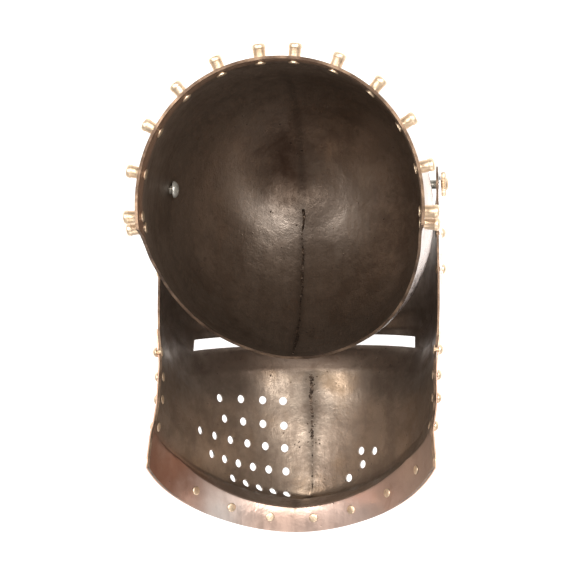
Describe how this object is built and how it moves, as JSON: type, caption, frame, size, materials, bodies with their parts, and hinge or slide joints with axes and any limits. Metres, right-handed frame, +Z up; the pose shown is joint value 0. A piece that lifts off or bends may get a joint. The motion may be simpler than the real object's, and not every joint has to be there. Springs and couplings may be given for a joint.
{
  "type": "pig-faced bascinet",
  "caption": "Steel helmet with a tall rounded skull and a pivoting visor drawn into a pierced, pointed snout, shown lying on its crown with the visor raised.",
  "frame": {"origin": "centre of the helmet's footprint, on the ground that the crown and the visor's top edge rest on", "axes": "+Z up, away from the ground and out of the open neck; +Y from the back of the helmet to the snout; +X to the wearer's left"},
  "size_m": [0.2346, 0.3984, 0.2758],
  "materials": {
    "skull_steel": "aged steel, worn and browned inside",
    "visor_steel": "aged steel, brighter on the flange",
    "strap_steel": "plain steel",
    "pin_steel": "turned steel",
    "trim_copper": "reddish brass strip",
    "brass": "turned brass"
  },
  "bodies": {
    "skull_body": {"skull": "skull_steel", "pivot_pin_left": "pin_steel", "pivot_pin_right": "pin_steel", "rosette_left": "brass", "rosette_right": "brass", "vervelle_01": "brass", "vervelle_02": "brass", "vervelle_03": "brass", "vervelle_04": "brass", "vervelle_05": "brass", "vervelle_06": "brass", "vervelle_07": "brass", "vervelle_08": "brass", "vervelle_09": "brass", "vervelle_10": "brass", "vervelle_11": "brass", "vervelle_12": "brass", "vervelle_13": "brass", "vervelle_14": "brass"},
    "visor_body": {"visor": "visor_steel", "visor_trim": "trim_copper", "arm_strap_left": "strap_steel", "arm_strap_right": "strap_steel", "arm_rivet_1": "brass", "arm_rivet_2": "brass", "arm_rivet_3": "brass", "arm_rivet_4": "brass", "trim_rivet_01": "brass", "trim_rivet_02": "brass", "trim_rivet_03": "brass", "trim_rivet_04": "brass", "trim_rivet_05": "brass", "trim_rivet_06": "brass", "trim_rivet_07": "brass", "trim_rivet_08": "brass", "trim_rivet_09": "brass", "trim_rivet_10": "brass", "trim_rivet_11": "brass", "trim_rivet_12": "brass", "trim_rivet_13": "brass", "trim_rivet_14": "brass", "trim_rivet_15": "brass"}
  },
  "joints": [
    {"name": "visor_pivot", "type": "hinge", "parent": "skull_body", "child": "visor_body", "pos_m": [0, -0.07722, 0.11791], "axis": [-1, 0, 0], "range_deg": [-56, 32]}
  ]
}
